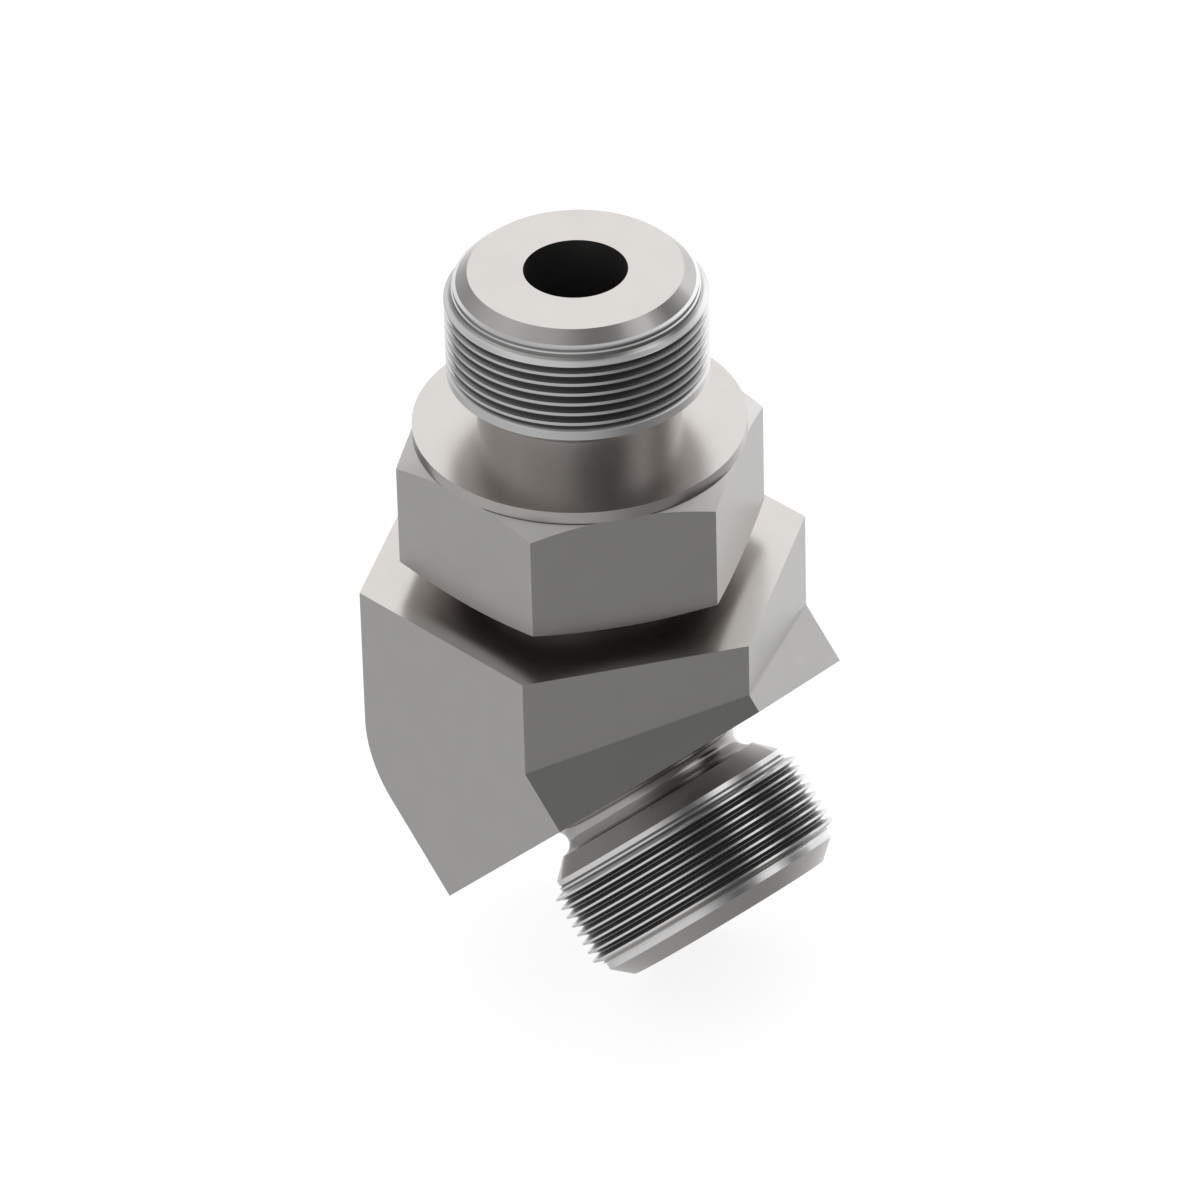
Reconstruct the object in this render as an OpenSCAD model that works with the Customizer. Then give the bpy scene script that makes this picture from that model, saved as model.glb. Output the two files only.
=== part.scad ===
// Forty-five degree swivel elbow for hydraulic lines.
// The elbow body is machined from hexagon stock and holds a stud that turns on two rows of balls.
// Origin: the bend point, where the stud's axis (+Z) meets the branch's axis. Millimetres.

/* [Elbow body] */
// Across flats of the elbow body
body_af = 73.5; // [72:0.5:82]
// Bend point to the body's top face
body_rise = 28.7; // [28.5:0.1:36]
// Bend point to the branch shoulder
branch_reach = 21; // [20.5:0.1:28]
// Angle between the two ports' axes, measured from straight on
bend_angle = 45; // [40:1:48]
// Bore that carries the oil, through both arms
flow_d = 19; // [12:0.5:21]

/* [Branch port] */
// Outside diameter of the branch thread, M52 x 2
branch_thread_d = 52; // [50:0.5:56]
// Length of the branch thread
branch_thread_len = 15.4; // [12:0.1:20]
// Depth of the plain ends of the branch thread below its crest
branch_root_depth = 2.35; // [1.5:0.05:3]
// Plain length between the entry cone and the thread
branch_back_len = 1.8; // [1:0.1:4]
// Plain length between the thread and the end chamfer
branch_lead_len = 1.95; // [1:0.05:4]
// Width of the flat rim between the end chamfer and the sealing cone
end_rim = 0.35; // [0.2:0.05:0.8]
// Radius of the round relief groove behind the thread
relief_r = 2.35; // [1.5:0.05:3]
// Floor diameter of the relief groove
relief_floor_d = 36.3; // [30:0.1:37.5]
// How far the sealing cone opens beyond the tube socket, on the radius
cone_rise = 0.95; // [0.5:0.05:1.3]
// Full angle of the sealing cone
cone_angle = 24; // [20:1:30]
// Socket that seats a 38 mm tube
tube_socket_d = 38.2; // [32:0.1:38.4]
// End face to the bottom of the tube socket
tube_socket_depth = 16; // [10:0.5:18]

/* [Swivel stud] */
// Across flats of the stud's wrench hexagon
hex_af = 60; // [55:0.5:60.5]
// Height of the wrench hexagon
hex_h = 23.9; // [15:0.1:30]
// Gap between the body's top face and the hexagon
hex_gap = 4.2; // [2:0.1:6]
// Angle of the hexagon's upper corner chamfer
hex_top_chamfer = 25; // [10:1:35]
// Angle of the hexagon's lower corner chamfer
hex_low_chamfer = 15; // [10:1:35]
// Diameter of the sealing shoulder on the hexagon
shoulder_d = 61.2; // [56:0.1:64]
// Height of the sealing shoulder
shoulder_h = 2.35; // [1:0.05:4]
// Diameter of the neck behind the stud's thread
neck_d = 37.3; // [30:0.1:41]
// Length of the neck
neck_len = 9.65; // [5:0.05:14]
// Outside diameter of the stud's thread, M48 x 2
stud_thread_d = 48; // [46:0.5:52]
// Length of the stud's thread with its lower chamfer
stud_thread_len = 17.2; // [12:0.1:24]
// Height of the 45 degree chamfer at the thread's foot
stud_foot_chamfer = 1.6; // [1:0.05:2.5]
// Height of the 45 degree cone that leads in to the thread
stud_lead_chamfer = 1.8; // [1:0.05:2.5]
// Core length above the thread's lead-in cone
stud_core_len = 0.7; // [0.4:0.1:3]
// Step from the core in to the pilot
pilot_step = 0.45; // [0.2:0.05:1]
// Length of the pilot up to its chamfer
pilot_len = 0.85; // [0.5:0.05:3]
// Height of the 45 degree chamfer at the stud's tip
tip_chamfer = 2.12; // [1:0.02:4]

/* [Thread grooves] */
// Distance from one groove to the next on the stud
stud_pitch = 2.13; // [1.6:0.01:2.2]
// Distance from one groove to the next on the branch
branch_pitch = 1.9; // [1.6:0.01:2]
// Flat of a thread's crest, as a share of its pitch
crest_share = 0.12; // [0.1:0.01:0.3]
// Flat of a thread's root, as a share of its pitch
root_share = 0.1; // [0.05:0.01:0.3]

/* [Bearing and seals] */
// Diameter of the stud's journal inside the body
stem_d = 41; // [40:0.1:42.5]
// Running clearance of the journal and the seals, on the radius
running_gap = 0.05; // [0.03:0.01:0.08]
// How far the housing floor lies below the bend point
floor_drop = 1; // [0:0.1:1.5]
// Clearance between the stud's end and the housing floor
end_gap = 0.5; // [0.3:0.1:1]
// Diameter of the bearing balls
ball_d = 6.35; // [5.6:0.05:6.4]
// Clearance between one ball and the next
ball_gap = 0.05; // [0.03:0.01:0.3]
// Distance between the two ball rows
row_pitch = 7.8; // [7.5:0.1:8]
// Wall between the seal groove and the lower race
seal_land = 1; // [0.8:0.1:1.5]
// Wall between the stud's end and the seal groove
tip_land = 2.5; // [2:0.1:3]
// Depth of the seal groove
seal_depth = 2.8; // [2:0.1:3.2]
// Width of the squeezed O-ring
o_ring_w = 4; // [3:0.1:4.2]
// Width of one backup ring
backup_w = 1.4; // [1:0.1:1.5]
// Radial width of the dust wiper
wiper_w = 4; // [3:0.1:5]
// Height of the dust wiper
wiper_h = 2.8; // [2.4:0.1:3]
// Diameter of a ball-loading pin
pin_d = 6.5; // [6.45:0.05:7]
// Outside diameter of a locking screw, M8 x 1
lock_screw_d = 8; // [7.5:0.5:10]
// Share of the wall outside the journal that a loading pin takes; its locking screw takes the rest
pin_share = 0.49; // [0.4:0.01:0.55]
// Across flats of the locking screw's socket
lock_socket_af = 4; // [3:0.5:5]

/* [Hidden] */
$fn = 96;
overlap = 1;
stem_r = stem_d / 2;
housing_r = stem_r + running_gap;
flow_r = flow_d / 2;
stud_thread_r = stud_thread_d / 2;
stud_core_r = stud_thread_r - stud_lead_chamfer;
pilot_r = stud_core_r - pilot_step;
ball_r = ball_d / 2;
race_r = ball_r + running_gap;
balls_per_row = floor(180 / asin((ball_d + ball_gap) / stem_d));

// Heights above the bend point, from the housing floor up
floor_z = -floor_drop;
stem_z = floor_z + end_gap;
seal_z = stem_z + tip_land;
seal_h = o_ring_w + 2 * backup_w + 4 * running_gap;
lower_row_z = seal_z + seal_h + seal_land + race_r;
upper_row_z = lower_row_z + row_pitch;
hex_z = body_rise + hex_gap;
shoulder_z = hex_z + hex_h;
neck_z = shoulder_z + shoulder_h;
thread_z = neck_z + neck_len;
lead_z = thread_z + stud_thread_len;
core_z = lead_z + stud_lead_chamfer;
pilot_z = core_z + stud_core_len;
chamfer_z = pilot_z + pilot_len;
tip_z = chamfer_z + tip_chamfer;

// Distances along the branch, from the bend point; the groove's arc meets the shoulder at an angle
arc_share = 0.95;
relief_s = branch_reach + arc_share * relief_r;
step_s = relief_s + relief_r;
step_r = relief_floor_d / 2 + relief_r;
branch_thread_r = branch_thread_d / 2;
branch_plain_r = branch_thread_r - branch_root_depth;
cone_mouth_r = tube_socket_d / 2 + cone_rise;
branch_end_r = cone_mouth_r + end_rim;
plain_s = step_s + branch_plain_r - step_r;
branch_thread_s = plain_s + branch_back_len;
branch_lead_s = branch_thread_s + branch_thread_len;
branch_chamfer_s = branch_lead_s + branch_lead_len;
branch_end_s = branch_chamfer_s + branch_plain_r - branch_end_r;
chamfer_share = 0.35;
thread_chamfer = chamfer_share * branch_root_depth;
socket_s = branch_end_s - tube_socket_depth;
cone_len = cone_rise / tan(cone_angle / 2);
// The branch bore runs on past the bend point, until it lies open in the housing all round
bore_run = 1.3 * flow_r;

// Ball-loading holes lie on the two flats away from the branch
upper_port_angle = 90;
lower_port_angle = 150;
pin_hole_r = pin_d / 2 + running_gap;
lock_hole_r = lock_screw_d / 2 + running_gap;
lock_recess = 0.6;
lock_face = body_af / 2 - lock_recess;
lock_seat = stem_r + pin_share * (lock_face - stem_r);
lock_screw_len = lock_face - lock_seat;
lock_socket_depth = 4;
lock_chamfer = 0.6;

// The sixty degree thread grooves that fit on the stud, and on the branch between its end chamfers
groove_angle = 60;
stud_groove_z = lead_z - crest_share * stud_pitch;
stud_grooves = floor((stud_groove_z - thread_z - stud_foot_chamfer) / stud_pitch);
branch_groove_s = branch_lead_s - thread_chamfer - crest_share * branch_pitch;
branch_grooves = floor((branch_groove_s - branch_thread_s - thread_chamfer) / branch_pitch);

// Small edges of the stud and its seals
stem_chamfer = 1;
seal_floor_r = stem_r - seal_depth + running_gap;
backup_slit = 0.4;
wiper_inner_r = housing_r + running_gap;
wiper_outer_r = housing_r + wiper_w - running_gap;
wiper_z = body_rise - wiper_h;
wiper_top_z = body_rise - 0.2;
wiper_heel = 1.4;
lip_edge = 0.5;

ROW_NODES = ["upper_ball_", "lower_ball_"];
FIXED_NODES = ["elbow_body", "swivel_stud", "main_o_ring", "lower_backup_ring", "upper_backup_ring",
    "dust_wiper", "upper_loading_pin", "lower_loading_pin", "upper_locking_screw",
    "lower_locking_screw"];

// A hexagon across the bend, its flats parallel to the bend plane
module hexagon(af, h) {
    cylinder(r = af / sqrt(3), h = h, $fn = 6);
}

// Places its children on the branch axis, with their own +Z along the branch
module on_branch() {
    rotate([0, 180 - bend_angle, 0]) children();
}

// Places its children at a loading hole, with their own +Z pointing out of the body
module at_port(turn, z) {
    rotate([0, 0, turn]) translate([0, 0, z]) rotate([0, 90, 0]) children();
}

// A full ring whose section is a circle centred on the journal
module ball_race(z) {
    translate([0, 0, z]) rotate_extrude() translate([stem_r, 0]) circle(r = race_r, $fn = 48);
}

// A block above (1) or below (-1) the plane that halves the bend. It keeps a small distance from that
// plane, so that the two arms run into each other
module mitre_block(side) {
    size = 3 * body_af;
    rotate([0, -bend_angle / 2, 0])
        translate([-size / 2, -size / 2, side > 0 ? overlap : -size - overlap]) cube(size);
}

// The outer half of the hexagon swept round the bend point
module outer_bend() {
    half = body_af / 2;
    corner = body_af / sqrt(3);
    rotate([0, 180, 0]) rotate([90, 0, 0]) rotate_extrude(angle = bend_angle)
        polygon([[0, -half], [corner / 2, -half], [corner, 0], [corner / 2, half], [0, half]]);
}

// Half sections of a thread's grooves, cut into a cylinder from its far end down; each stands for one turn
module thread_grooves(r, end, pitch, count) {
    mouth = (1 - crest_share) * pitch;
    root = root_share * pitch;
    depth = (mouth - root) / 2 / tan(groove_angle / 2);
    for (i = [0 : count - 1]) translate([r, end - i * pitch - mouth / 2]) polygon([
        [overlap, -mouth / 2],
        [0, -mouth / 2],
        [-depth, -root / 2],
        [-depth, root / 2],
        [0, mouth / 2],
        [overlap, mouth / 2]]);
}

// The branch port without its bore, turned round its axis
module branch_port() {
    rotate_extrude() difference() {
        port_outline();
        translate([step_r, relief_s]) circle(r = relief_r, $fn = 64);
        thread_grooves(branch_thread_r, branch_groove_s, branch_pitch, branch_grooves);
    }
}

// Half section of the port before the round relief groove
module port_outline() {
    polygon([
        [0, branch_reach - overlap],
        [step_r, branch_reach - overlap],
        [step_r, step_s],
        [branch_plain_r, plain_s],
        [branch_plain_r, branch_thread_s],
        [branch_thread_r - thread_chamfer, branch_thread_s],
        [branch_thread_r, branch_thread_s + thread_chamfer],
        [branch_thread_r, branch_lead_s - thread_chamfer],
        [branch_thread_r - thread_chamfer, branch_lead_s],
        [branch_plain_r, branch_lead_s],
        [branch_plain_r, branch_chamfer_s],
        [branch_end_r, branch_end_s],
        [0, branch_end_s]]);
}

// Sealing cone, tube socket and oil bore of the branch
module branch_bore() {
    translate([0, 0, socket_s])
        cylinder(d = tube_socket_d, h = tube_socket_depth - cone_len);
    translate([0, 0, branch_end_s - cone_len])
        cylinder(r1 = tube_socket_d / 2, r2 = cone_mouth_r, h = cone_len);
    translate([0, 0, branch_end_s])
        cylinder(r = cone_mouth_r, h = overlap);
    translate([0, 0, -bore_run]) cylinder(r = flow_r, h = bore_run + socket_s + overlap);
}

// Pin hole and screw hole through which one row of balls is loaded
module loading_hole() {
    translate([0, 0, stem_r - ball_r]) cylinder(r = pin_hole_r, h = lock_face - stem_r + ball_r);
    translate([0, 0, lock_seat]) cylinder(r = lock_hole_r, h = body_af / 2 - lock_seat + overlap);
}

module elbow_body() {
    color("silver") difference() {
        union() {
            difference() {
                hexagon(body_af, body_rise);
                mitre_block(-1);
            }
            outer_bend();
            difference() {
                on_branch() hexagon(body_af, branch_reach);
                mitre_block(1);
            }
            on_branch() branch_port();
        }
        translate([0, 0, floor_z]) cylinder(r = housing_r, h = body_rise - floor_z + overlap);
        translate([0, 0, wiper_z]) cylinder(r = housing_r + wiper_w, h = wiper_h + overlap);
        on_branch() branch_bore();
        ball_race(upper_row_z);
        ball_race(lower_row_z);
        at_port(upper_port_angle, upper_row_z) loading_hole();
        at_port(lower_port_angle, lower_row_z) loading_hole();
    }
}

// Wrench hexagon with its corners turned off by an upper and a lower cone
module wrench_hexagon() {
    flat_r = hex_af / 2;
    corner = hex_af / sqrt(3);
    top_drop = (corner - flat_r) * tan(hex_top_chamfer);
    low_drop = (corner - flat_r) * tan(hex_low_chamfer);
    intersection() {
        translate([0, 0, hex_z]) hexagon(hex_af, hex_h);
        rotate_extrude() polygon([
            [0, hex_z],
            [flat_r, hex_z],
            [corner, hex_z + low_drop],
            [corner + overlap, hex_z + low_drop],
            [corner + overlap, shoulder_z - top_drop],
            [corner, shoulder_z - top_drop],
            [flat_r, shoulder_z],
            [0, shoulder_z]]);
    }
}

// Half section of the stud from its sealing shoulder up to its tip, before the thread is cut
module stud_outline() {
    root_r = hex_af / 2 - overlap;
    polygon([
        [0, shoulder_z - overlap],
        [root_r, shoulder_z - overlap],
        [root_r, shoulder_z],
        [shoulder_d / 2, shoulder_z],
        [shoulder_d / 2, neck_z],
        [neck_d / 2, neck_z],
        [neck_d / 2, thread_z],
        [stud_thread_r - stud_foot_chamfer, thread_z],
        [stud_thread_r, thread_z + stud_foot_chamfer],
        [stud_thread_r, lead_z],
        [stud_core_r, core_z],
        [stud_core_r, pilot_z],
        [pilot_r, pilot_z],
        [pilot_r, chamfer_z],
        [pilot_r - tip_chamfer, tip_z],
        [0, tip_z]]);
}

module swivel_stud() {
    color("silver") difference() {
        union() {
            wrench_hexagon();
            rotate_extrude() polygon([
                [0, stem_z],
                [stem_r - stem_chamfer, stem_z],
                [stem_r, stem_z + stem_chamfer],
                [stem_r, hex_z + overlap],
                [0, hex_z + overlap]]);
            rotate_extrude() difference() {
                stud_outline();
                thread_grooves(stud_thread_r, stud_groove_z, stud_pitch, stud_grooves);
            }
        }
        translate([0, 0, stem_z - overlap]) cylinder(r = flow_r, h = tip_z - stem_z + 2 * overlap);
        ball_race(upper_row_z);
        ball_race(lower_row_z);
        translate([0, 0, seal_z]) rotate_extrude()
            translate([stem_r - seal_depth, 0]) square([seal_depth + overlap, seal_h]);
    }
}

// A seal ring in the stud's groove: it clears the groove's floor and the housing bore alike
module seal_ring(z, w) {
    translate([0, 0, z]) rotate_extrude()
        translate([seal_floor_r, 0]) square([stem_r - seal_floor_r, w]);
}

module lower_backup_ring() {
    color("ivory") split_ring(seal_z + running_gap, 0);
}

module upper_backup_ring() {
    color("ivory") split_ring(seal_z + 3 * running_gap + backup_w + o_ring_w, 180);
}

// A backup ring with the slit that lets it snap into a closed groove
module split_ring(z, turn) {
    difference() {
        seal_ring(z, backup_w);
        rotate([0, 0, turn]) translate([0, -backup_slit / 2, z - overlap])
            cube([stem_r + overlap, backup_slit, backup_w + 2 * overlap]);
    }
}

module main_o_ring() {
    z = seal_z + 2 * running_gap + backup_w;
    color("dimgray") translate([0, 0, z + o_ring_w / 2]) rotate_extrude() intersection() {
        translate([(seal_floor_r + stem_r) / 2, 0]) circle(d = o_ring_w, $fn = 48);
        translate([seal_floor_r, -o_ring_w / 2]) square([stem_r - seal_floor_r, o_ring_w]);
    }
}

// Lip seal in the body's mouth, its lip leaning out against dirt
module dust_wiper() {
    r = wiper_inner_r;
    color("dimgray") rotate_extrude() polygon([
        [r + wiper_heel, wiper_z],
        [wiper_outer_r, wiper_z],
        [wiper_outer_r, wiper_top_z - lip_edge],
        [wiper_outer_r - lip_edge, wiper_top_z],
        [r + wiper_heel + lip_edge, wiper_top_z],
        [r + wiper_heel, wiper_top_z - 2 * lip_edge],
        [r + lip_edge, wiper_top_z],
        [r, wiper_top_z - lip_edge],
        [r + wiper_heel / 2, wiper_z + 2 * lip_edge]]);
}

// Pin that closes a loading hole; its inner end completes the race
module loading_pin(turn, z) {
    color("gainsboro") difference() {
        at_port(turn, z) translate([0, 0, stem_r + ball_r / 2])
            cylinder(d = pin_d, h = lock_seat - running_gap - stem_r - ball_r / 2);
        ball_race(z);
    }
}

// Set screw that locks a loading pin, with a hexagon socket in its outer end
module locking_screw(turn, z) {
    r = lock_screw_d / 2;
    color("dimgray") at_port(turn, z) difference() {
        translate([0, 0, lock_seat]) rotate_extrude() polygon([
            [0, 0],
            [r - lock_chamfer, 0],
            [r, lock_chamfer],
            [r, lock_screw_len - lock_chamfer],
            [r - lock_chamfer, lock_screw_len],
            [0, lock_screw_len]]);
        translate([0, 0, lock_face - lock_socket_depth])
            hexagon(lock_socket_af, lock_socket_depth + overlap);
    }
}

module race_ball(z, i) {
    rotate([0, 0, (i - 1) * 360 / balls_per_row])
        translate([stem_r, 0, z]) color("whitesmoke") sphere(r = ball_r, $fn = 48);
}

elbow_body();
swivel_stud();
main_o_ring();
lower_backup_ring();
upper_backup_ring();
dust_wiper();
loading_pin(upper_port_angle, upper_row_z);  // upper_loading_pin
loading_pin(lower_port_angle, lower_row_z);  // lower_loading_pin
locking_screw(upper_port_angle, upper_row_z);  // upper_locking_screw
locking_screw(lower_port_angle, lower_row_z);  // lower_locking_screw
for (i = [1 : balls_per_row]) {
    race_ball(upper_row_z, i);
    race_ball(lower_row_z, i);
}
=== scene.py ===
"""Dresses the forty-five degree swivel elbow in machined steel and lights it in a white studio."""

import logging
import math
from dataclasses import dataclass, field
from enum import IntEnum
from typing import Any, Callable, Sequence

import bmesh
import bpy
import numpy as np
from mathutils import Matrix, Vector


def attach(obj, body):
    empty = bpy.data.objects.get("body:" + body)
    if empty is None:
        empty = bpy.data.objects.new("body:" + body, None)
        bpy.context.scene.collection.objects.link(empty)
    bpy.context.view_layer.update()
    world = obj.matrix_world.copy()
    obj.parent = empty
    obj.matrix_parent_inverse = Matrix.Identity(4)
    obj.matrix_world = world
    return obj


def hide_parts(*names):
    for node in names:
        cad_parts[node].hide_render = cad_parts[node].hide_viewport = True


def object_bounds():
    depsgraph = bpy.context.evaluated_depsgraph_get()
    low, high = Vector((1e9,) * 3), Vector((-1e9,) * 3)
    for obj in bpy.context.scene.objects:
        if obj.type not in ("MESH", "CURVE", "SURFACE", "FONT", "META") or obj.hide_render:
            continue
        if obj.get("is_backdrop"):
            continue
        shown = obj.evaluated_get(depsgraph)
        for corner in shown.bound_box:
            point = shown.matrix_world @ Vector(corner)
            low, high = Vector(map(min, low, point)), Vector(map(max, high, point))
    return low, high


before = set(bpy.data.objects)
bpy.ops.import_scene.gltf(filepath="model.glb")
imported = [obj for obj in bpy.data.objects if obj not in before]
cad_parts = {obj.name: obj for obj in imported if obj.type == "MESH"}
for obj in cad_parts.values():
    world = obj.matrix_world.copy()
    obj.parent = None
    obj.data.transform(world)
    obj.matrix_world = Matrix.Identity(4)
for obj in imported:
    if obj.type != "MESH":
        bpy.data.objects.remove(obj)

Array = np.ndarray
LOG = logging.getLogger("elbow")
MM = 0.001
COLUMNS = 432
COARSE_COLUMNS = 64
ON_PLANE_MM = 1e-9
WELD_M = 1e-7
SLIVER_M = 1e-8
WHITE = (1.0, 1.0, 1.0, 1.0)


class Zone(IntEnum):
    """The kind of surface that a strip of a machined piece has, in the order of its material slots."""

    MILLED = 0
    TURNED = 1
    THREAD = 2
    BORE = 3
    POLISHED = 4


# Shader maths


@dataclass(frozen=True)
class Signal:
    """A shader socket that takes part in Python arithmetic."""

    kit: "NodeKit"
    socket: Any

    def _math(self, operation: str, *values: Any) -> "Signal":
        """Adds a Math node with an operation and its inputs in order, as numbers or signals."""
        return self.kit.node("ShaderNodeMath", {"operation": operation}, dict(enumerate(values)))

    def __add__(self, other: Any) -> "Signal":
        """Sum."""
        return self._math("ADD", self, other)

    def __radd__(self, other: Any) -> "Signal":
        """Sum, reflected."""
        return self._math("ADD", other, self)

    def __sub__(self, other: Any) -> "Signal":
        """Difference."""
        return self._math("SUBTRACT", self, other)

    def __rsub__(self, other: Any) -> "Signal":
        """Difference, reflected."""
        return self._math("SUBTRACT", other, self)

    def __mul__(self, other: Any) -> "Signal":
        """Product."""
        return self._math("MULTIPLY", self, other)

    def __rmul__(self, other: Any) -> "Signal":
        """Product, reflected."""
        return self._math("MULTIPLY", other, self)

    def at_least(self, other: Any) -> "Signal":
        """The larger of the two."""
        return self._math("MAXIMUM", self, other)

    def eased(self, start: float, end: float, low: float = 0.0, high: float = 1.0) -> "Signal":
        """Runs smoothly from low at start to high at end.

        Args:
            start: The value at which the ramp begins.
            end: The value at which it is complete.
            low: The result before the ramp.
            high: The result after it.

        Returns:
            The eased value.
        """
        settings = {"interpolation_type": "SMOOTHSTEP", "clamp": True}
        inputs = {"Value": self, "From Min": start, "From Max": end, "To Min": low, "To Max": high}
        return self.kit.node("ShaderNodeMapRange", settings, inputs)


class NodeKit:
    """Adds nodes to one material's or world's tree."""

    def __init__(self, tree: Any) -> None:
        """Takes the node tree to fill and empties it."""
        self.tree = tree
        tree.nodes.clear()

    def make(
        self,
        kind: str,
        settings: dict[str, Any] | None = None,
        inputs: dict[Any, Any] | None = None,
    ) -> Any:
        """Adds a node of any type.

        Args:
            kind: The node's type.
            settings: Its properties, set first.
            inputs: Values or signals, by socket name or number.

        Returns:
            The node.
        """
        made = self.tree.nodes.new(kind)
        for key, value in (settings or {}).items():
            setattr(made, key, value)
        for key, value in (inputs or {}).items():
            if isinstance(value, Signal):
                self.tree.links.new(value.socket, made.inputs[key])
            else:
                made.inputs[key].default_value = value
        return made

    def node(
        self,
        kind: str,
        settings: dict[str, Any] | None = None,
        inputs: dict[Any, Any] | None = None,
        output: int | str = 0,
    ) -> Signal:
        """Adds a node as make does, and gives one of its outputs, by name or number."""
        return Signal(self, self.make(kind, settings, inputs).outputs[output])

    def vector(self, operation: str, *values: Any, output: int | str = 0) -> Signal:
        """Adds a Vector Math node with an operation and its inputs in order, and gives one of its outputs."""
        return self.node("ShaderNodeVectorMath", {"operation": operation}, dict(enumerate(values)), output)

    def place(self) -> Signal:
        """Where the point lies on the piece, in metres."""
        return self.node("ShaderNodeTexCoord", output="Object")

    def noise(self, where: Signal, scale: float, detail: float = 2.0) -> Signal:
        """Soft cloudy noise between about 0 and 1: its scale is in cells per metre, its detail in octaves."""
        return self.node("ShaderNodeTexNoise", {}, {"Vector": where, "Scale": scale, "Detail": detail}, "Fac")

    def blend(self, factor: Any, first: tuple[float, ...], second: tuple[float, ...]) -> Signal:
        """Mixes two linear colours: a factor of 0 gives the first, and 1 the second."""
        inputs = {0: factor, 6: (*first, 1.0), 7: (*second, 1.0)}
        return self.node("ShaderNodeMix", {"data_type": "RGBA"}, inputs, 2)


# Finishes


@dataclass(frozen=True)
class RootShade:
    """Painted shade in the roots of a thread whose axis runs through the origin, in millimetres.

    It darkens the metal fully out to dark_r and is gone at the outer radius, within a span of the axis that
    fades at both ends. The metal keeps the given share of its colour there, and loses the dull share of its
    shine.
    """

    axis: tuple[float, float, float]
    dark_r: float
    unshaded_r: float
    span: tuple[float, float]
    shaded_share: float = 0.2
    dull: float = 0.1
    fade: float = 0.05

    def clean(self, kit: NodeKit, place: Signal) -> Signal:
        """How free of painted shade the metal is: eased up by the distance from the axis, and free of it
        beyond the span.

        Args:
            kit: The material's nodes.
            place: The point.

        Returns:
            A share, one where there is no painted shade.
        """
        away = kit.vector("LENGTH", kit.vector("CROSS_PRODUCT", place, self.axis), output="Value")
        along = kit.vector("DOT_PRODUCT", place, self.axis, output="Value")
        start, end = (edge * MM for edge in self.span)
        fade = self.fade * MM
        crest = away.eased(self.dark_r * MM, self.unshaded_r * MM)
        before = along.eased(start, start + fade, 1.0, 0.0)
        beyond = along.eased(end - fade, end)
        return crest.at_least(before).at_least(beyond)


@dataclass(frozen=True)
class Finish:
    """A procedural surface: a softly mottled colour, a sheen, and faint tool marks round the stud's axis.

    The mottle is the share by which the colour varies, and the grain gives the tool marks' cells per metre.
    """

    name: str
    colour: tuple[float, float, float]
    metallic: float = 1.0
    roughness: float = 0.3
    mottle: float = 0.02
    mottle_scale: float = 160.0
    mottle_detail: float = 3.0
    mottle_ramp: tuple[float, float] = (0.15, 0.85)
    grain: tuple[float, float, float] = (200.0, 200.0, 5000.0)
    grain_roughness: float = 0.006
    # Painted shade in a thread's roots, where the finish has one.
    groove: RootShade | None = None

    def build(self) -> bpy.types.Material:
        """Builds the material.

        Returns:
            The finished material.
        """
        material = bpy.data.materials.new(self.name)
        material.use_nodes = True
        kit = NodeKit(material.node_tree)
        place = kit.place()
        cloud = kit.noise(place, self.mottle_scale, self.mottle_detail)
        marks = kit.noise(kit.vector("MULTIPLY", place, self.grain), 1.0)
        dark = tuple(c * (1.0 - self.mottle) for c in self.colour)
        light = tuple(min(1.0, c * (1.0 + self.mottle)) for c in self.colour)
        colour = kit.blend(cloud.eased(*self.mottle_ramp), dark, light)
        metallic: Any = self.metallic
        # The groove paints shade into the thread's roots: a darker colour and less metallic shine there.
        if self.groove is not None:
            painted_shade = 1.0 - self.groove.clean(kit, place)
            colour = kit.vector("MULTIPLY", colour, 1.0 - painted_shade * (1.0 - self.groove.shaded_share))
            metallic = self.metallic * (1.0 - painted_shade * self.groove.dull)
        rough = self.roughness + (marks - 0.5) * (2.0 * self.grain_roughness)
        inputs = {"Base Color": colour, "Metallic": metallic, "Roughness": rough}
        shader = kit.node("ShaderNodeBsdfPrincipled", {}, inputs)
        kit.make("ShaderNodeOutputMaterial", {}, {"Surface": shader})
        return material


@dataclass(frozen=True)
class Finishes:
    """Every finish of the elbow, in a machinist's words, with linear colours."""

    milled: Finish = Finish("milled_steel", (0.566, 0.559, 0.548))
    turned: Finish = Finish("turned_steel", (0.6, 0.575, 0.556), roughness=0.27)
    polished: Finish = Finish("polished_steel", (0.57, 0.555, 0.542), roughness=0.14, mottle=0.01)
    # The thread steels are lighter than the other steel, a painted highlight on their crests, and their roots
    # carry painted shade.
    stud_thread: Finish = Finish(
        "stud_thread_steel",
        (0.71, 0.71, 0.71),
        roughness=0.15,
        mottle=0.015,
        groove=RootShade((0.0, 0.0, 1.0), 23.25, 23.9, (72.0, 86.0), 0.38),
    )
    branch_thread: Finish = Finish(
        "branch_thread_steel",
        (0.97, 0.97, 0.97),
        roughness=0.13,
        mottle=0.015,
        groove=RootShade((math.sqrt(0.5), 0.0, -math.sqrt(0.5)), 24.8, 25.75, (30.95, 45.4), 0.3, 0.25),
    )
    bore: Finish = Finish("drilled_steel", (0.33, 0.325, 0.32), roughness=0.42, mottle=0.05)
    balls: Finish = Finish("bearing_ball_steel", (0.8, 0.8, 0.82), roughness=0.08, mottle=0.01)
    pins: Finish = Finish("ground_pin_steel", (0.56, 0.56, 0.55), roughness=0.22, mottle=0.03)
    screws: Finish = Finish("black_oxide_steel", (0.07, 0.07, 0.075), roughness=0.38, mottle=0.12)
    nitrile: Finish = Finish(
        "nitrile_rubber",
        (0.025, 0.025, 0.026),
        metallic=0.0,
        roughness=0.62,
        mottle=0.15,
    )
    ptfe: Finish = Finish("ptfe", (0.84, 0.82, 0.76), metallic=0.0, roughness=0.48, mottle=0.03)


# Shapes


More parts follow.
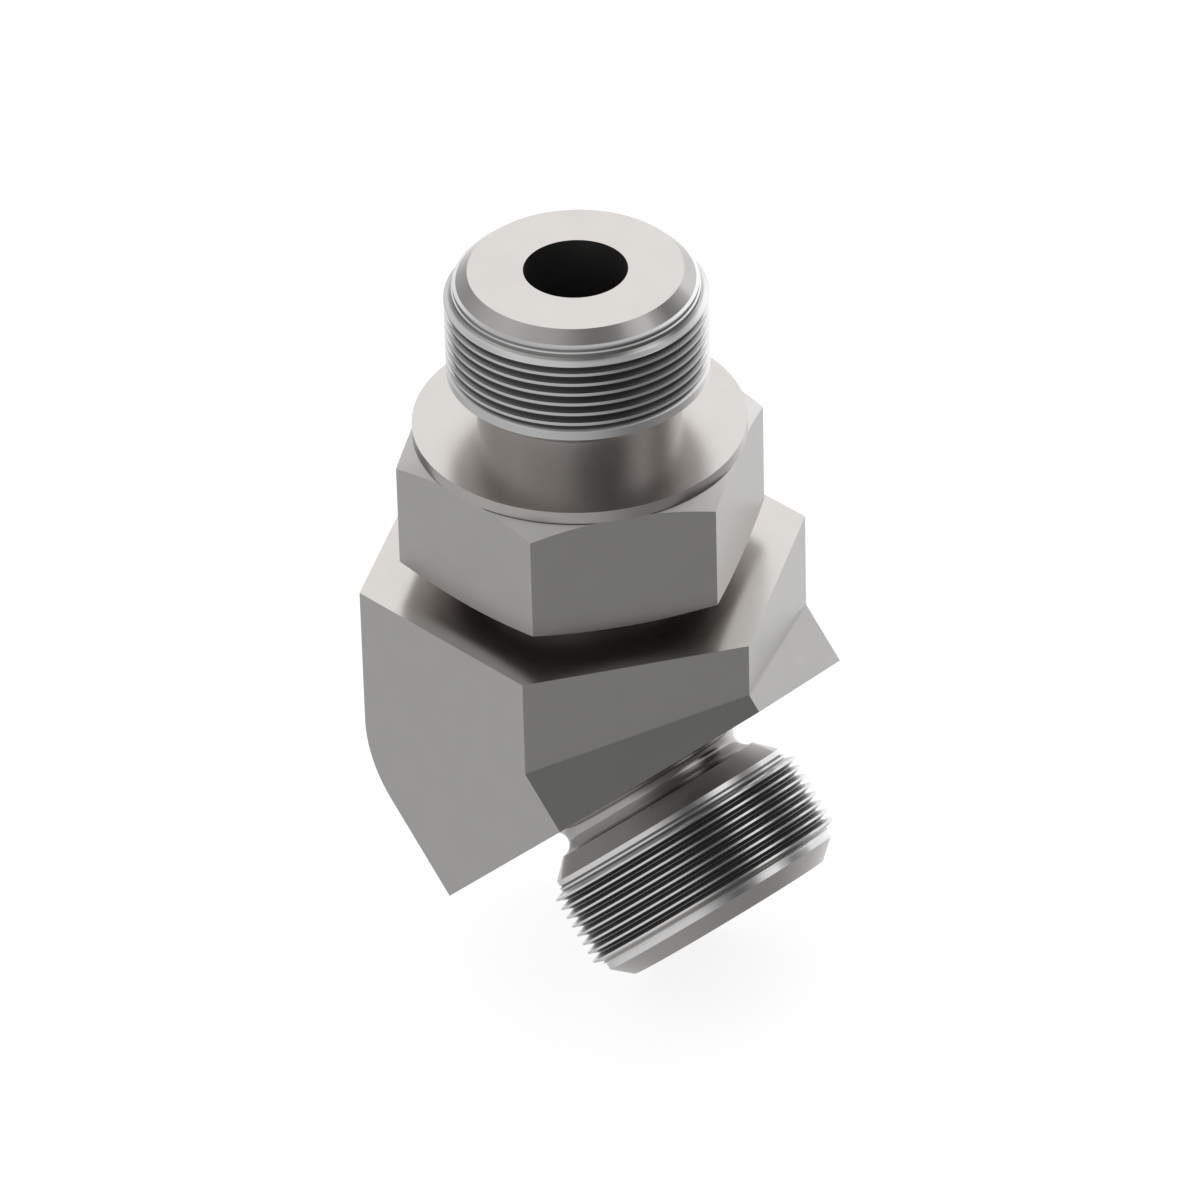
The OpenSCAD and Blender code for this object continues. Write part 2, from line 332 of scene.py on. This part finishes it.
def arc(centre: tuple[float, float], radius: float, start: float, end: float, count: int) -> Array:
    """Points on a circle in a half section: centre plus radius times cosine and sine of even angles.

    Args:
        centre: The circle's centre, as radius from the axis and height.
        radius: Its radius.
        start: The first angle in degrees, from straight outwards towards up.
        end: The last angle in degrees.
        count: How many points.

    Returns:
        An array of (radius, height) points.
    """
    turn = np.radians(np.linspace(start, end, count))
    return np.stack([centre[0] + radius * np.cos(turn), centre[1] + radius * np.sin(turn)], axis=1)


def hexagon_reach(turn: Array, across_flats: float) -> Array:
    """Distance from the axis to a hexagon's edge.

    It is half the width across flats over the cosine of the angle to the nearest flat's middle. The corners
    lie at whole multiples of sixty degrees.

    Args:
        turn: Angles about the axis, in radians.
        across_flats: Width across flats.

    Returns:
        The distance for each angle.
    """
    return across_flats / 2 / np.cos(np.mod(turn, math.pi / 3) - math.pi / 6)


def columns(count: int = COLUMNS) -> Array:
    """The angles of a lathe grid's columns, evenly from zero to a full turn: the last lies on the first.

    Args:
        count: How many strips go round.

    Returns:
        The angles in radians, one more than the strips.
    """
    return np.linspace(0.0, 2 * math.pi, count + 1)


def spun(profile: Array, turn: Array) -> Array:
    """A profile carried round the axis: each (radius, height) becomes a ring of radius times cosine and sine.

    Args:
        profile: Rows of (radius, height), or of (radius per column, height per column).
        turn: The columns' angles.

    Returns:
        A grid of points, rows by columns.
    """
    radius, height = profile[:, 0, None], profile[:, 1, None]
    return np.stack([radius * np.cos(turn), radius * np.sin(turn), height + 0 * turn], axis=2)


@dataclass(frozen=True)
class Strips:
    """Rows of a grid and the zone of the strip that follows each row."""

    points: Array
    zones: Array

    @staticmethod
    def of(points: Array, zone: Zone) -> "Strips":
        """Rows of a grid of points that all have one zone."""
        return Strips(points, np.full(len(points), int(zone)))

    @staticmethod
    def joined(parts: Sequence["Strips"]) -> "Strips":
        """Several runs of rows, joined one after the other."""
        return Strips(np.concatenate([p.points for p in parts]), np.concatenate([p.zones for p in parts]))


@dataclass(frozen=True)
class Ridges:
    """A run of equal thread ridges, each a plain ring as the photograph shows them, in millimetres.

    From its middle, a ridge is flat on its crest, runs down an eased shoulder to the knee, and down a steeper
    flank to the flat root. The knee is a share of the pitch and a radius. Each flat is a share of the pitch.
    """

    first: float
    pitch: float
    count: int
    crest_r: float
    root_r: float
    knee: tuple[float, float]
    crest_flat: float
    root_flat: float

    def profile(self) -> Array:
        """Half a ridge mirrored about each crest's middle, and the crests' middles a pitch apart.

        Returns:
            Rows of (radius, height), from the root before the first ridge to the root after the last.
        """
        shares = np.array([0.0, self.crest_flat / 2, self.knee[0], 0.5 - self.root_flat / 2])
        radii = np.array([self.crest_r, self.crest_r, self.knee[1], self.root_r])
        places = np.concatenate([-shares[:0:-1], shares[1:]]) * self.pitch
        middles = self.first + self.pitch * np.arange(self.count)
        heights = (middles[:, None] + places[None, :]).ravel()
        return np.stack([np.tile(np.concatenate([radii[:0:-1], radii[1:]]), self.count), heights], axis=1)


def signed_volume(points: Array, faces: Array) -> float:
    """Volume of a closed grid by the sum of its faces' triple products.

    Args:
        points: Corner points.
        faces: Quads of corner numbers.

    Returns:
        The volume, negative where the faces point inwards.
    """
    a, b, c, d = (points[faces[:, i]] for i in range(4))
    return float(np.einsum("ij,ij->i", a, np.cross(b, c) + np.cross(c, d)).sum() / 6)


def welded(name: str, points: Array, faces: Array, zones: Array | None = None) -> bpy.types.Object:
    """An object from points and quads, with points that meet merged.

    Args:
        name: The object's name.
        points: Corner points in metres, in any grid.
        faces: Quads of corner numbers.
        zones: The material slot of each face, where it has zones; the slots are still empty.

    Returns:
        The object, at the origin.
    """
    mesh = bpy.data.meshes.new(name)
    mesh.from_pydata(points.reshape(-1, 3).tolist(), [], faces.tolist())
    if zones is not None:
        for _ in Zone:
            mesh.materials.append(None)
        mesh.polygons.foreach_set("material_index", zones.astype(np.int32))
    work = bmesh.new()
    work.from_mesh(mesh)
    bmesh.ops.remove_doubles(work, verts=work.verts, dist=WELD_M)
    bmesh.ops.dissolve_degenerate(work, edges=work.edges, dist=SLIVER_M)
    work.to_mesh(mesh)
    work.free()
    made = bpy.data.objects.new(name, mesh)
    bpy.context.scene.collection.objects.link(made)
    return made


def quads(rows: int, cols: int, closed: bool) -> Array:
    """The faces between a grid's points.

    Args:
        rows: Rows of points.
        cols: Columns of points, the last of which lies on the first.
        closed: Whether the last row joins the first.

    Returns:
        Quads of corner numbers, row by row.
    """
    i, j = np.meshgrid(np.arange(rows if closed else rows - 1), np.arange(cols - 1), indexing="ij")
    here, there = i * cols + j, (i + 1) % rows * cols + j
    return np.stack([here, here + 1, there + 1, there], axis=2).reshape(-1, 4)


def closed_grid(name: str, strips: Strips) -> bpy.types.Object:
    """A solid from a grid whose last row joins its first and whose last column lies on its first.

    Args:
        name: The piece's name.
        strips: The rows, in millimetres.

    Returns:
        The object, at the origin, in metres.
    """
    points = strips.points * MM
    rows, cols = points.shape[:2]
    faces = quads(rows, cols, True)
    if signed_volume(points.reshape(-1, 3), faces) < 0:
        faces = faces[:, ::-1]
    return welded(name, points, faces, np.repeat(strips.zones, cols - 1))


def shade(piece: bpy.types.Object, sharp: float = 24.0) -> None:
    """Smooth shading that stays crisp over any edge sharper than an angle.

    Args:
        piece: The object.
        sharp: The angle in degrees.
    """
    mesh = piece.data
    mesh.polygons.foreach_set("use_smooth", np.ones(len(mesh.polygons), dtype=bool))
    mesh.set_sharp_from_angle(angle=math.radians(sharp))
    mesh.update()


def bored(piece: bpy.types.Object, cutters: Sequence[bpy.types.Object]) -> None:
    """Cuts holes into a piece and applies the result.

    Args:
        piece: The object that is cut.
        cutters: Closed solids that are taken away from it, and deleted.
    """
    for cutter in cutters:
        cut = piece.modifiers.new("hole", "BOOLEAN")
        cut.operation, cut.solver, cut.object = "DIFFERENCE", "EXACT", cutter
    graph = bpy.context.evaluated_depsgraph_get()
    solid = bpy.data.meshes.new_from_object(piece.evaluated_get(graph))
    piece.modifiers.clear()
    old, piece.data = piece.data, solid
    bpy.data.meshes.remove(old)
    for cutter in cutters:
        bpy.data.objects.remove(cutter)


# The part


@dataclass
class Bearing:
    """Sizes that the body and the stud share where one turns in the other, in millimetres."""

    journal_r: float = 20.5
    housing_r: float = 20.55
    race_r: float = 3.225
    race_steps: int = 18
    rows: tuple[float, float] = (13.225, 21.025)
    floor_z: float = -1.0
    stem_z: float = -0.5
    flow_r: float = 9.5

    def races(self, wall: float, outward: bool) -> Array:
        """The two ball races in a wall: arcs round the ball centres, on the side away from the other part.

        Args:
            wall: Radius of the wall that they are cut into.
            outward: True in the body, False in the stud.

        Returns:
            An array of (radius, height) points, from the lower race up.
        """
        lean = math.degrees(math.acos((wall - self.journal_r) / self.race_r))
        span = (-lean, lean) if outward else (-lean, lean - 360.0)
        middles = [(self.journal_r, z) for z in self.rows]
        return np.concatenate([arc(middle, self.race_r, *span, self.race_steps) for middle in middles])


@dataclass
class ElbowBody:
    """The hexagonal elbow with its branch port, as one closed surface carried along the bend.

    Sizes are in millimetres. Names that end in _r are radii, and names that end in _s are distances along the
    branch. The relief is its arc's centre, as radius and distance, and the arc's radius. The run-in and the
    run-out are rows of radius and distance, and the run-in's rows name their zones.
    """

    bearing: Bearing = field(default_factory=Bearing)
    af: float = 73.5
    rise: float = 28.7
    reach: float = 21.0
    bend: float = 45.0
    bend_rows: int = 24
    mitre_run: float = 0.07
    recess: tuple[float, float] = (24.55, 25.9)
    relief: tuple[float, float, float] = (20.5, 23.2325, 2.35)
    relief_steps: int = 28
    plain_r: float = 23.95
    thread: Ridges = Ridges(32.0, 1.898, 8, 25.92, 24.0, (0.27, 24.98), 0.21, 0.06)
    run_in: tuple[tuple[float, float, Zone], ...] = (
        (23.95, 30.02, Zone.BORE),
        (23.6, 30.14, Zone.BORE),
        (23.6, 30.36, Zone.BORE),
        (24.15, 30.46, Zone.THREAD),
        (24.15, 30.8, Zone.THREAD),
    )
    run_out: tuple[tuple[float, float], ...] = ((24.3, 46.45), (24.3, 46.6), (23.7, 46.75), (23.95, 46.9))
    chamfer_s: float = 48.0
    end: tuple[float, float] = (20.4, 51.1325)
    cone: tuple[float, float] = (20.05, 19.1)
    socket_s: float = 35.1325
    cone_s: float = 46.663
    port_turns: tuple[float, float] = (90.0, 150.0)
    port_radii: tuple[float, float] = (3.3, 4.05)
    lock_seat: float = 28.1685
    cutter_spare: float = 1.0

    def on_branch(self, across: Array, side: Array, along: Array) -> Array:
        """Points in the branch's own frame, turned into the part's by the angle of the bend.

        Args:
            across: Distance from the branch's axis towards the inside of the bend.
            side: Distance across the bend.
            along: Distance along the branch.

        Returns:
            The points.
        """
        lean = math.radians(self.bend)
        return np.stack(
            [
                along * math.sin(lean) + across * math.cos(lean),
                side + 0 * along,
                across * math.sin(lean) - along * math.cos(lean),
            ],
            axis=-1,
        )

    def branch_rings(self, profile: Array, turn: Array) -> Array:
        """Rows of (radius, distance along the branch), each spun into a ring round the branch's axis."""
        radius, along = profile[:, 0, None], profile[:, 1, None] + 0 * turn
        return self.on_branch(radius * np.cos(turn), radius * np.sin(turn), along)

    def arms(self, turn: Array) -> Array:
        """The hexagon carried from the top face round the bend to the branch shoulder.

        Outside the bend each point turns about the bend's axis. Inside it each runs straight to the mitre
        plane and then along the branch.

        Args:
            turn: The columns' angles.

        Returns:
            A grid of points.
        """
        reach = hexagon_reach(turn, self.af)
        x, y = reach * np.cos(turn), reach * np.sin(turn)
        x = np.where(np.abs(x) < ON_PLANE_MM, 0.0, x)
        half = math.tan(math.radians(self.bend / 2))
        sweep = np.linspace(0, math.radians(self.bend), self.bend_rows)[:, None]
        outer = np.stack([x * np.cos(sweep), y + 0 * sweep, x * np.sin(sweep)], axis=2)
        inner_x = np.maximum(x, 0.0)
        run = np.linspace(-1, 1, self.bend_rows)[:, None] * self.mitre_run * inner_x
        down = np.stack([inner_x + 0 * run, y + 0 * run, inner_x * half - run], axis=2)
        out = self.on_branch(inner_x + 0 * run, y + 0 * run, inner_x * half + run)
        inner = np.where((run <= 0)[..., None], down, out)
        bend = np.where((x > 0)[None, :, None], inner, outer)
        top = np.stack([x, y, 0 * x + self.rise], axis=1)[None]
        foot = self.on_branch(x, y, 0 * x + self.reach)[None]
        return np.concatenate([top, bend, foot])

    def port(self, turn: Array) -> Strips:
        """The branch port from its relief groove to its oil bore.

        Args:
            turn: The columns' angles.

        Returns:
            The strips.
        """
        centre_r, centre_s, round_r = self.relief
        dip = math.degrees(math.asin((centre_s - self.reach) / round_r))
        groove = arc((centre_r, centre_s), round_r, 180.0 + dip, 90.0, self.relief_steps)
        cone_s = centre_s + round_r + self.plain_r - centre_r
        start = np.array([(self.plain_r, cone_s, Zone.THREAD), *self.run_in])
        thread = np.concatenate([start[:, :2], self.thread.profile(), np.array(self.run_out)])
        ridges = Strips.of(self.branch_rings(thread, turn), Zone.THREAD)
        ridges.zones[: len(start)] = start[:, 2]
        # The last ridge ends in three rows: its crest's edge, its knee and its root
        crest_edge = len(thread) - len(self.run_out) - 3
        ridges.zones[crest_edge : crest_edge + 2] = Zone.TURNED
        tip = np.array([[self.plain_r, self.chamfer_s], self.end, [self.cone[0], self.end[1]]])
        seat = [[self.cone[1], self.cone_s], [self.cone[1], self.socket_s]]
        inside = np.array([*seat, [self.bearing.flow_r, self.socket_s]])
        return Strips.joined(
            [
                Strips.of(self.branch_rings(groove, turn), Zone.POLISHED),
                ridges,
                Strips.of(self.branch_rings(tip, turn), Zone.TURNED),
                Strips.of(self.branch_rings(inside, turn), Zone.BORE),
            ]
        )

    def housing(self, turn: Array) -> Strips:
        """The bore's slanted mouth in the housing floor, then the wall with its races up to the wiper's seat.

        Args:
            turn: The columns' angles.

        Returns:
            The strips.
        """
        lean = math.radians(self.bend)
        across = self.bearing.flow_r * np.cos(turn)
        along = (across * math.sin(lean) - self.bearing.floor_z) / math.cos(lean)
        mouth = self.on_branch(across, self.bearing.flow_r * np.sin(turn), along)[None]
        wall = np.concatenate(
            [
                [[self.bearing.housing_r, self.bearing.floor_z]],
                self.bearing.races(self.bearing.housing_r, True),
                [[self.bearing.housing_r, self.recess[1]], list(self.recess), [self.recess[0], self.rise]],
            ]
        )
        return Strips.of(np.concatenate([mouth, spun(wall, turn)]), Zone.BORE)

    def hole(self, index: int) -> bpy.types.Object:
        """The tool that cuts one ball-loading hole: a pin hole and a wider screw hole on one radial axis.

        Args:
            index: 0 for the upper row of balls, 1 for the lower one.

        Returns:
            The cutter.
        """
        pin_r, screw_r = self.port_radii
        depth = self.bearing.journal_r - self.bearing.race_r
        outside = self.af / 2 + self.cutter_spare
        profile = np.array(
            [
                [0.0, depth],
                [pin_r, depth],
                [pin_r, self.lock_seat],
                [screw_r, self.lock_seat],
                [screw_r, outside],
                [0.0, outside],
            ]
        )
        rings = spun(profile, columns(COARSE_COLUMNS))
        facing = math.radians(self.port_turns[index])
        out = rings[..., 2]
        grid = np.stack(
            [
                out * math.cos(facing) - rings[..., 0] * math.sin(facing),
                out * math.sin(facing) + rings[..., 0] * math.cos(facing),
                rings[..., 1] + self.bearing.rows[1 - index],
            ],
            axis=2,
        )
        return closed_grid(f"hole_cutter_{index}", Strips.of(grid, Zone.BORE))

    def build(self) -> bpy.types.Object:
        """Builds the body's surface and cuts its loading holes.

        Returns:
            The piece.
        """
        turn = columns()
        arms = self.arms(turn)
        strips = Strips.joined([Strips.of(arms, Zone.MILLED), self.port(turn), self.housing(turn)])
        strips.zones[len(arms) - 1] = Zone.TURNED
        strips.zones[-1] = Zone.TURNED
        piece = closed_grid("elbow_body_machined", strips)
        bored(piece, [self.hole(0), self.hole(1)])
        shade(piece)
        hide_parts("elbow_body")
        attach(piece, "elbow")
        return piece


@dataclass
class SwivelStud:
    """The one-piece stud: journal with races and seal groove, hexagon, shoulder, neck, thread and tip.

    Sizes are in millimetres. Names that end in _r are radii, and names that end in _z are heights. The seal
    is its groove's lower and upper height and its floor's radius. The foot, lead and tip are rows of radius
    and height, and the last two name their zones.
    """

    bearing: Bearing = field(default_factory=Bearing)
    stem_chamfer: float = 1.0
    seal: tuple[float, float, float] = (2.0, 9.0, 17.7)
    hex_af: float = 60.0
    hex_z: float = 32.9
    top_lean: float = 25.0
    low_lean: float = 15.0
    shoulder_z: float = 56.8
    shoulder_r: float = 30.6
    neck_z: float = 59.15
    neck_r: float = 18.65
    foot: tuple[tuple[float, float], ...] = ((22.4, 68.8), (24.0, 70.4), (24.0, 72.1))
    thread: Ridges = Ridges(73.85, 2.115, 6, 24.0, 22.6, (0.17, 23.7), 0.3, 0.1)
    # The rows with the drilled finish darken the lead's small recesses, a painted shade.
    lead: tuple[tuple[float, float, Zone], ...] = (
        (23.6, 86.0, Zone.THREAD),
        (24.0, 86.1, Zone.THREAD),
        (23.75, 86.32, Zone.THREAD),
        (23.3, 86.52, Zone.THREAD),
        (22.95, 86.88, Zone.POLISHED),
        (22.6, 87.25, Zone.BORE),
        (22.6, 88.05, Zone.THREAD),
        (22.3, 88.22, Zone.BORE),
        (22.3, 88.8, Zone.THREAD),
        (22.35, 89.15, Zone.THREAD),
    )
    tip: tuple[tuple[float, float, Zone], ...] = (
        (21.75, 89.35, Zone.POLISHED),
        (19.63, 91.47, Zone.TURNED),
        (9.5, 91.47, Zone.BORE),
    )

    def journal(self, turn: Array) -> Array:
        """The stem inside the body, from the oil bore's lower edge up to the hexagon.

        Args:
            turn: The columns' angles.

        Returns:
            A grid of points.
        """
        low, high, floor_r = self.seal
        wall, base = self.bearing.journal_r, self.bearing.stem_z
        groove = np.array([[wall, low], [floor_r, low], [floor_r, high], [wall, high]])
        chamfer = self.stem_chamfer
        start = np.array([[self.bearing.flow_r, base], [wall - chamfer, base], [wall, base + chamfer]])
        profile = np.concatenate([start, groove, self.bearing.races(wall, False), [[wall, self.hex_z]]])
        return spun(profile, turn)

    def hexagon(self, turn: Array) -> Array:
        """The wrench hexagon, whose corners are turned off by a cone above and one below.

        Both ends of a column move in by its reach beyond the flat times the slope of the cone.

        Args:
            turn: The columns' angles.

        Returns:
            A grid of points.
        """
        flat = self.hex_af / 2
        reach = hexagon_reach(turn, self.hex_af)
        low = (reach - flat) * math.tan(math.radians(self.low_lean))
        top = (reach - flat) * math.tan(math.radians(self.top_lean))
        radius = np.stack([0 * turn + flat, reach, reach, 0 * turn + flat])
        base, face = 0 * turn + self.hex_z, 0 * turn + self.shoulder_z
        height = np.stack([base, base + low, face - top, face])
        return np.stack([radius * np.cos(turn), radius * np.sin(turn), height], axis=2)

    def build(self) -> bpy.types.Object:
        """Builds the stud's surface.

        Returns:
            The piece.
        """
        turn = columns()
        shoulder = np.array(
            [
                [self.shoulder_r, self.shoulder_z],
                [self.shoulder_r, self.neck_z],
                [self.neck_r, self.neck_z],
                [self.neck_r, self.foot[0][1]],
            ]
        )
        thread = np.concatenate([np.array(self.foot), self.thread.profile()])
        nose = np.array(self.lead + self.tip)
        strips = Strips.joined(
            [
                Strips.of(self.journal(turn), Zone.TURNED),
                Strips.of(self.hexagon(turn), Zone.MILLED),
                Strips.of(spun(shoulder, turn), Zone.TURNED),
                Strips.of(spun(thread, turn), Zone.THREAD),
                Strips(spun(nose[:, :2], turn), nose[:, 2].astype(int)),
            ]
        )
        piece = closed_grid("swivel_stud_machined", strips)
        shade(piece)
        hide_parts("swivel_stud")
        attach(piece, "stud")
        return piece


@dataclass
class InnerPieces:
    """The bearing balls, seals, pins and screws, which keep their own solids and get real finishes."""

    finishes: Finishes

    def finish_for(self, node: str) -> Finish:
        """The finish of a node, by what its name says it is.

        Args:
            node: The node's name.

        Returns:
            Its finish.
        """
        table: dict[str, Finish] = {
            "ball": self.finishes.balls,
            "pin": self.finishes.pins,
            "screw": self.finishes.screws,
            "backup": self.finishes.ptfe,
            "ring": self.finishes.nitrile,
            "wiper": self.finishes.nitrile,
        }
        return next(finish for word, finish in table.items() if word in node)

    def dress(self, nodes: dict[str, bpy.types.Object], made: Callable[[Finish], bpy.types.Material]) -> None:
        """Gives each node its material.

        Args:
            nodes: The nodes that stay.
            made: Builds a finish once and hands it out again.
        """
        for name, node in nodes.items():
            node.data.materials.clear()
            node.data.materials.append(made(self.finish_for(name)))
            LOG.info("dressed %s", name)


# The studio


@dataclass(frozen=True)
class Card:
    """A soft patch of the studio's surroundings, which adds a level of light, or takes it away.

    Its middle lies at an azimuth and elevation. It is full up to the inner angle from there and gone at the
    outer one. All angles are in degrees.
    """

    azimuth: float
    elevation: float
    inner: float
    outer: float
    level: float

    def direction(self) -> tuple[float, float, float]:
        """The way from the part to the card's middle."""
        a, e = math.radians(self.azimuth), math.radians(self.elevation)
        return (math.cos(e) * math.cos(a), math.cos(e) * math.sin(a), math.sin(e))


@dataclass
class Studio:
    """White surroundings with soft grey cards, a pale floor, and the camera."""

    base: float = 0.333
    darkest: float = 0.02
    cards: tuple[Card, ...] = (
        Card(126.1, 5.2, 0.0, 66.6, 0.580),
        Card(6.7, 20.3, 34.1, 69.2, -0.224),
        Card(-117.4, -3.4, 35.3, 115.1, 0.229),
        Card(30.1, 37.6, 0.0, 23.7, 0.321),
        Card(61.1, 27.0, 17.0, 25.7, -0.285),
        Card(98.4, -52.1, 1.5, 40.5, 0.305),
        Card(131.5, 63.8, 47.5, 74.3, 0.505),
        Card(-106.6, 81.6, 26.1, 54.9, -0.279),
        Card(-176.1, 17.9, 0.3, 57.0, -0.348),
    )
    floor_radius: float = 4.0
    floor_rings: tuple[float, ...] = (0.0, 0.05, 0.2, 1.0)
    floor_colour: tuple[float, float, float] = (0.3, 0.3, 0.3)
    floor_fill: float = 0.88
    target: tuple[float, float, float] = (0.0, 0.0, 0.0196)
    distance: float = 1.7547
    azimuth: float = -44.063
    elevation: float = 35.173
    roll: float = -1.578
    lens: float = 285.363
    sensor: float = 36.0
    shift: tuple[float, float] = (0.01292, -0.00433)
    clip: tuple[float, float] = (0.05, 20.0)

    def surroundings(self) -> None:
        """Lights the part from all round. The camera sees pure white, and the metal reflects the cards."""
        world = bpy.data.worlds.new("white_studio")
        bpy.context.scene.world = world
        world.use_nodes = True
        kit = NodeKit(world.node_tree)
        way = kit.node("ShaderNodeTexCoord", output="Generated")
        level: Any = self.base
        for card in self.cards:
            near = kit.vector("DOT_PRODUCT", way, card.direction(), output="Value")
            patch = near.eased(math.cos(math.radians(card.outer)), math.cos(math.radians(card.inner)))
            level = patch * card.level + level
        rays = kit.make("ShaderNodeLightPath")
        seen = Signal(kit, rays.outputs["Is Camera Ray"])
        through = Signal(kit, rays.outputs["Is Transmission Ray"])
        direct = seen + through
        strength = level.at_least(self.darkest) * (1.0 - direct) + direct
        white = kit.node("ShaderNodeBackground", {}, {"Color": WHITE, "Strength": strength})
        kit.make("ShaderNodeOutputWorld", {}, {"Surface": white})

    def floor(self, height: float) -> bpy.types.Object:
        """A round pale floor under the part, topped up to white for the camera, so the part's shadow stays.

        Args:
            height: Where it lies.

        Returns:
            The floor.
        """
        turn = columns(COARSE_COLUMNS)
        rings = np.array(self.floor_rings)[:, None] * self.floor_radius
        grid = np.stack([rings * np.cos(turn), rings * np.sin(turn), 0 * rings * turn + height], axis=2)
        floor = welded("studio_floor", grid, quads(*grid.shape[:2], False)[:, ::-1])
        material = bpy.data.materials.new("pale_floor")
        material.use_nodes = True
        kit = NodeKit(material.node_tree)
        rays = kit.make("ShaderNodeLightPath")
        seen = Signal(kit, rays.outputs["Is Camera Ray"]) * self.floor_fill
        matt = kit.node("ShaderNodeBsdfDiffuse", {}, {"Color": (*self.floor_colour, 1.0)})
        fill = kit.node("ShaderNodeEmission", {}, {"Color": WHITE, "Strength": seen})
        both = kit.node("ShaderNodeAddShader", {}, {0: matt, 1: fill})
        kit.make("ShaderNodeOutputMaterial", {}, {"Surface": both})
        floor.data.materials.append(material)
        floor.visible_glossy = False
        floor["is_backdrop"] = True
        return floor

    def camera(self) -> bpy.types.Object:
        """The camera at the photograph's place: a long lens, looking down at the part from its front right.

        Returns:
            The camera.
        """
        a, e, r = (math.radians(v) for v in (self.azimuth, self.elevation, self.roll))
        back = Vector((math.cos(e) * math.cos(a), math.cos(e) * math.sin(a), math.sin(e)))
        right = Vector((0.0, 0.0, 1.0)).cross(back).normalized()
        up = back.cross(right)
        rolled_right = math.cos(r) * right + math.sin(r) * up
        rolled_up = math.cos(r) * up - math.sin(r) * right
        data = bpy.data.cameras.new("product_camera")
        data.lens, data.sensor_width = self.lens, self.sensor
        data.shift_x, data.shift_y = self.shift
        data.clip_start, data.clip_end = self.clip
        camera = bpy.data.objects.new("product_camera", data)
        turn = Matrix((rolled_right, rolled_up, back)).transposed()
        camera.matrix_world = Matrix.Translation(Vector(self.target) + self.distance * back) @ turn.to_4x4()
        bpy.context.scene.collection.objects.link(camera)
        bpy.context.scene.camera = camera
        return camera


class Workshop:
    """Builds each finish once."""

    def __init__(self) -> None:
        """Starts with no materials."""
        self.made: dict[str, bpy.types.Material] = {}

    def material(self, finish: Finish) -> bpy.types.Material:
        """The material of a finish, built the first time it is asked for.

        Args:
            finish: The finish.

        Returns:
            Its material.
        """
        if finish.name not in self.made:
            self.made[finish.name] = finish.build()
        return self.made[finish.name]


def machined_slots(piece: bpy.types.Object, finishes: Sequence[Finish], shop: Workshop) -> None:
    """Fills a machined piece's slots, one for each zone.

    Args:
        piece: The object.
        finishes: The finishes in the order of the zones.
        shop: Where materials are made.
    """
    for slot, finish in enumerate(finishes):
        piece.data.materials[slot] = shop.material(finish)


def main() -> None:
    """Builds, dresses and lights the part."""
    logging.basicConfig(level=logging.INFO, format="%(message)s")
    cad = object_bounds()
    finishes, shop = Finishes(), Workshop()
    for maker, thread in ((ElbowBody(), finishes.branch_thread), (SwivelStud(), finishes.stud_thread)):
        piece = maker.build()
        slots = (finishes.milled, finishes.turned, thread, finishes.bore, finishes.polished)
        machined_slots(piece, slots, shop)
        LOG.info("built %s with %d faces", piece.name, len(piece.data.polygons))
    rest = {name: node for name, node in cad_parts.items() if not node.hide_render}
    InnerPieces(finishes).dress(rest, shop.material)
    bpy.context.scene.view_settings.view_transform = "Standard"
    studio = Studio()
    studio.surroundings()
    studio.floor(cad[0].z)
    studio.camera()


if __name__ == "__main__":
    main()
